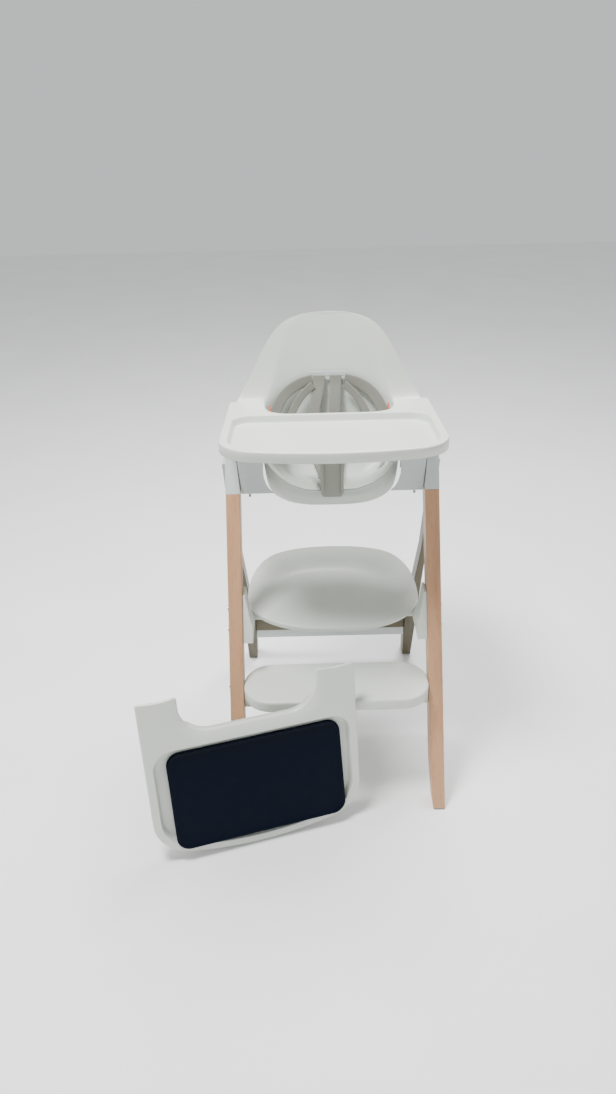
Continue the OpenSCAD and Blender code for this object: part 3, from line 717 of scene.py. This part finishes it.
def band_shape(points, width, level):
    """A flat band along a path: level bands run across x, the others face the front."""
    path = smooth_path([Vector(p) for p in points])
    rings = []
    for i, middle in enumerate(path):
        along = (path[min(i + 1, len(path) - 1)] - path[max(i - 1, 0)]).normalized()
        if level:
            across = Vector((1, 0, 0))
            facing = along.cross(across).normalized()
        else:
            facing = Vector((0, -1, 0))
            across = facing.cross(along).normalized()
        rings.append([middle + across * width * u + facing * STRAP_THICK * v
                      for u, v in STRAP_SECTION])
    shape = Shape()
    shape.add_rings(rings)
    shape.add_cap(rings[0], flip=True)
    shape.add_cap(rings[-1])
    return shape


def mirror_x(points, side):
    return [(side * x, y, z) for x, y, z in points]


def shoulder_path(side):
    top = 15 if side > 0 else -20
    low = 12 if side > 0 else -32
    end = 15 * side
    return [(top, 380, 48), (top, 377, 30), ((top + low) / 2, 369, 4), (low, 360, -26),
            (low, 352, -60), (low, 345, -105), ((low + end) / 2, 336, -133), (end, 316, -149),
            (end, 290, -151)]


HIP_PATH = [(34, 380, 40), (62, 378, 32), (87, 373, 17), (105, 366, -4), (116, 358, -30),
            (118, 348, -58), (113, 336, -92), (100, 326, -120)]
LOOP_PATH = [(33, 372, 30), (52, 369, 14), (68, 364, -6), (80, 357, -28), (86, 350, -52)]
CROTCH_PATH = [(0, 258, -153), (0, 240, -156), (0, 220, -150), (0, 208, -138)]


# ---- Springs ------------------------------------------------------------------------------

TAB_WALL_X = 135.5
TAB_PLACE = (338, -21)
TAB_SPRING_START = -8.9
TAB_SPRING_LENGTH = 4.6
TAB_SPRING_RADIUS = 3.5
TAB_SPRING_WIRE = 0.35
TAB_SPRING_TURNS = 3
BUCKLE_SPRING_BASE = Vector((0, 274, -154))
BUCKLE_SPRING_LENGTH = 7
BUCKLE_SPRING_RADIUS = 4
BUCKLE_SPRING_WIRE = 0.45
BUCKLE_SPRING_TURNS = 4
COIL_STEPS = 20
WIRE_SIDES = 8


def coil_shape(length, radius, wire, turns):
    """Round wire wound along z."""
    steps = turns * COIL_STEPS
    up = Vector((0, 0, 1))
    rings = []
    for i in range(steps + 1):
        angle = math.tau * turns * i / steps
        out = Vector((math.cos(angle), math.sin(angle), 0))
        middle = out * (radius - wire) + up * (wire + (length - 2 * wire) * i / steps)
        section = [math.tau * k / WIRE_SIDES for k in range(WIRE_SIDES)]
        rings.append([middle + wire * (out * math.cos(a) + up * math.sin(a)) for a in section])
    shape = Shape()
    shape.add_rings(rings)
    shape.add_cap(rings[0], flip=True)
    shape.add_cap(rings[-1])
    return shape


# ---- Build --------------------------------------------------------------------------------

OFF_WHITE = (0.61, 0.64, 0.585)
COOL_GREY = (0.52, 0.56, 0.55)
BEECH = (0.50, 0.275, 0.145)
BEECH_DARK = (0.41, 0.21, 0.105)
# Rear legs and rear crossbar: beech painted near-black, a painted shade for the shadow under the
# platform.
SHADED_REAR_BEECH = (0.095, 0.08, 0.04)
SHADED_REAR_BEECH_DARK = (0.065, 0.055, 0.027)
FRONT_RAKE = math.radians(22.1)
REAR_RAKE = math.radians(18.7)

shell_plastic = moulded_plastic("shell_plastic", OFF_WHITE, 0.42, grain=0.15)
tray_plastic = moulded_plastic("tray_plastic", OFF_WHITE, 0.36, grain=0.06, coat=0.2)
trim_plastic = moulded_plastic("trim_plastic", COOL_GREY, 0.48)
# Crotch post and buckle: pale seat plastic painted dark grey-green, a painted shade for the hollow
# under the tray.
shaded_post_plastic = moulded_plastic("shaded_post_plastic", (0.27, 0.28, 0.235), 0.48)
glide_plastic = moulded_plastic("glide_plastic", (0.3, 0.3, 0.28), 0.6)
orange_plastic = moulded_plastic("orange_plastic", (0.52, 0.13, 0.05), 0.4)
board_plastic = moulded_plastic("board_plastic", (0.0004, 0.0024, 0.0095), 0.6, specular=0.08)
front_wood = wood("front_wood", (-FRONT_RAKE, 0, 0), BEECH, BEECH_DARK)
# The rear legs' and crossbar's wood carries the near-black painted shade.
shaded_rear_wood = wood("shaded_rear_wood", (REAR_RAKE, 0, 0), SHADED_REAR_BEECH, SHADED_REAR_BEECH_DARK)
shaded_bar_wood = wood("shaded_bar_wood", (0, math.radians(90), 0), SHADED_REAR_BEECH, SHADED_REAR_BEECH_DARK)
webbing = woven("webbing", (0.235, 0.235, 0.20))
steel = brushed_metal("steel")


def add_shape(name, shape, place, body, nodes, material, subdivide=0):
    return piece(name, shape.points, shape.faces, place, body, nodes, material, subdivide)


def add_trays():
    add_shape("tray_moulding", tray_shape(), seat_frame(), "tray", ["tray"],
              tray_plastic)
    add_shape("leaning_tray_moulding", tray_shape(), lean_frame(), "leaning_tray",
              ["leaning_tray"], tray_plastic)
    add_shape("leaning_board_insert", board_shape(), board_frame(), "leaning_board",
              ["leaning_board"], board_plastic)


def add_seat():
    add_shape("seat_shell_moulding", seat_shell_shape(), seat_frame(), "seat", ["seat_shell"],
              shell_plastic, 1)


def add_boards():
    add_shape("platform_moulding", platform_shape(), chair_frame(), "frame", ["platform"],
              shell_plastic, 1)
    add_shape("step_moulding", step_shape(), chair_frame(), "frame", ["step"],
              shell_plastic)


def add_harness():
    place = seat_frame()
    for side, word in ((1, "right"), (-1, "left")):
        straps = [
            ("shoulder_strap", band_shape(shoulder_path(side), STRAP_WIDTH, True)),
            ("hip_strap", band_shape(mirror_x(HIP_PATH, side), STRAP_WIDTH - 2, False)),
            ("loop_strap", band_shape(mirror_x(LOOP_PATH, side), STRAP_WIDTH - 9, False)),
        ]
        for kind, shape in straps:
            node = f"{kind}_{word}"
            add_shape(f"{node}_webbing", shape, place, "seat", [node], webbing)
    add_shape("crotch_strap_webbing", band_shape(CROTCH_PATH, STRAP_WIDTH, True), place, "seat",
              ["crotch_strap"], webbing)


def add_springs():
    """Coils in place of the CAD's plain tubes."""
    for side, word in ((1, "right"), (-1, "left")):
        start = Vector((side * (TAB_WALL_X + TAB_SPRING_START), *TAB_PLACE))
        turn = Matrix.Rotation(math.radians(90 * side), 4, "Y")
        place = seat_frame() @ Matrix.Translation(start) @ turn
        coil = coil_shape(TAB_SPRING_LENGTH, TAB_SPRING_RADIUS, TAB_SPRING_WIRE,
                          TAB_SPRING_TURNS)
        node = f"release_spring_{word}"
        spring = add_shape(f"{node}_coil", coil, place, "seat", [node], steel)
        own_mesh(spring)
    place = seat_frame() @ Matrix.Translation(BUCKLE_SPRING_BASE)
    coil = coil_shape(BUCKLE_SPRING_LENGTH, BUCKLE_SPRING_RADIUS, BUCKLE_SPRING_WIRE,
                      BUCKLE_SPRING_TURNS)
    spring = add_shape("buckle_spring_coil", coil, place, "seat", ["buckle_spring"],
                       steel)
    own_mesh(spring)


def finish_cad_nodes():
    """Rounds and paints every CAD node that stays on show."""
    finishes = [
        (front_wood, 2.2, ["front_leg_right", "front_leg_left"]),
        # Rear legs and crossbar: dark wood with painted shade.
        (shaded_rear_wood, 2.2, ["rear_leg_right", "rear_leg_left"]),
        (shaded_bar_wood, 2, ["rear_crossbar"]),
        (shell_plastic, 1.6, ["platform_bracket_right", "platform_bracket_left",
                              "step_mount_right", "step_mount_left"]),
        (trim_plastic, 1.8, ["side_joint_right", "side_joint_left", "rear_brace"]),
        (trim_plastic, 1.2, ["seat_cheek_right", "seat_cheek_left", "seat_pins"]),
        # Crotch post and buckle: dark plastic with painted shade.
        (shaded_post_plastic, 1.2, ["crotch_post", "buckle"]),
        (trim_plastic, 0.4, ["seat_catches", "tab_guide_right", "tab_guide_left",
                             "strap_guide"]),
        (glide_plastic, 0.5, ["foot_glides"]),
        (orange_plastic, 0.6, ["release_tab_right", "release_tab_left", "buckle_button"]),
        (steel, 0.25, ["crossbar_screws", "platform_screws", "step_screws"]),
    ]
    for material, width, names in finishes:
        for name in names:
            paint_node(name, material)
            soften(name, width)


CAMERA_PLACE = (0.026, -1.4808, 1.3276)
CAMERA_PITCH = math.radians(-28.87)
CAMERA_ROLL = -0.024
CAMERA_LENS = 26.985
CAMERA_SENSOR = 36


def add_camera():
    """Stands in front of the chair, above the tray, and looks down at it."""
    pitch = CAMERA_PITCH
    roll = CAMERA_ROLL
    across = Vector((1, 0, 0))
    up = Vector((0, -math.sin(pitch), math.cos(pitch)))
    back = Vector((0, -math.cos(pitch), -math.sin(pitch)))
    right = across * math.cos(roll) + up * math.sin(roll)
    top = up * math.cos(roll) - across * math.sin(roll)
    camera = bpy.data.objects.new("camera", bpy.data.cameras.new("camera"))
    camera.data.lens = CAMERA_LENS
    camera.data.sensor_width = CAMERA_SENSOR
    turned = Matrix((right, top, back)).transposed().to_4x4()
    camera.matrix_world = Matrix.Translation(CAMERA_PLACE) @ turned
    bpy.context.scene.collection.objects.link(camera)
    bpy.context.scene.camera = camera


def add_light(name, place, aim, size, power):
    light = bpy.data.lights.new(name, "AREA")
    light.shape = "DISK"
    light.size = size
    light.energy = power
    lamp = bpy.data.objects.new(name, light)
    lamp.location = place
    lamp.rotation_euler = (Vector(aim) - Vector(place)).to_track_quat("-Z", "Y").to_euler()
    bpy.context.scene.collection.objects.link(lamp)


def add_studio():
    bpy.ops.mesh.primitive_plane_add(size=14)
    floor = bpy.context.object
    floor.name = "floor"
    material, tree, shader = blank_material("floor_paper", 0.9)
    tone = ramp(tree, noise(tree, mapped(tree), 3), [(0.3, grey(0.86)), (0.7, grey(0.9))])
    tree.links.new(tone, shader.inputs["Base Color"])
    floor.data.materials.append(material)
    world = bpy.data.worlds.new("studio")
    world.use_nodes = True
    world.node_tree.nodes["Background"].inputs["Color"].default_value = (0.97, 0.985, 1, 1)
    world.node_tree.nodes["Background"].inputs["Strength"].default_value = 0.7
    bpy.context.scene.world = world
    add_light("key", (-0.7, -0.5, 3.0), (0.05, 0, 0.5), 0.8, 125)
    add_light("top", (0.5, 0.8, 2.8), (0.05, 0, 0.5), 1.0, 85)


add_camera()
add_studio()
add_trays()
add_seat()
add_boards()
add_harness()
add_springs()
finish_cad_nodes()
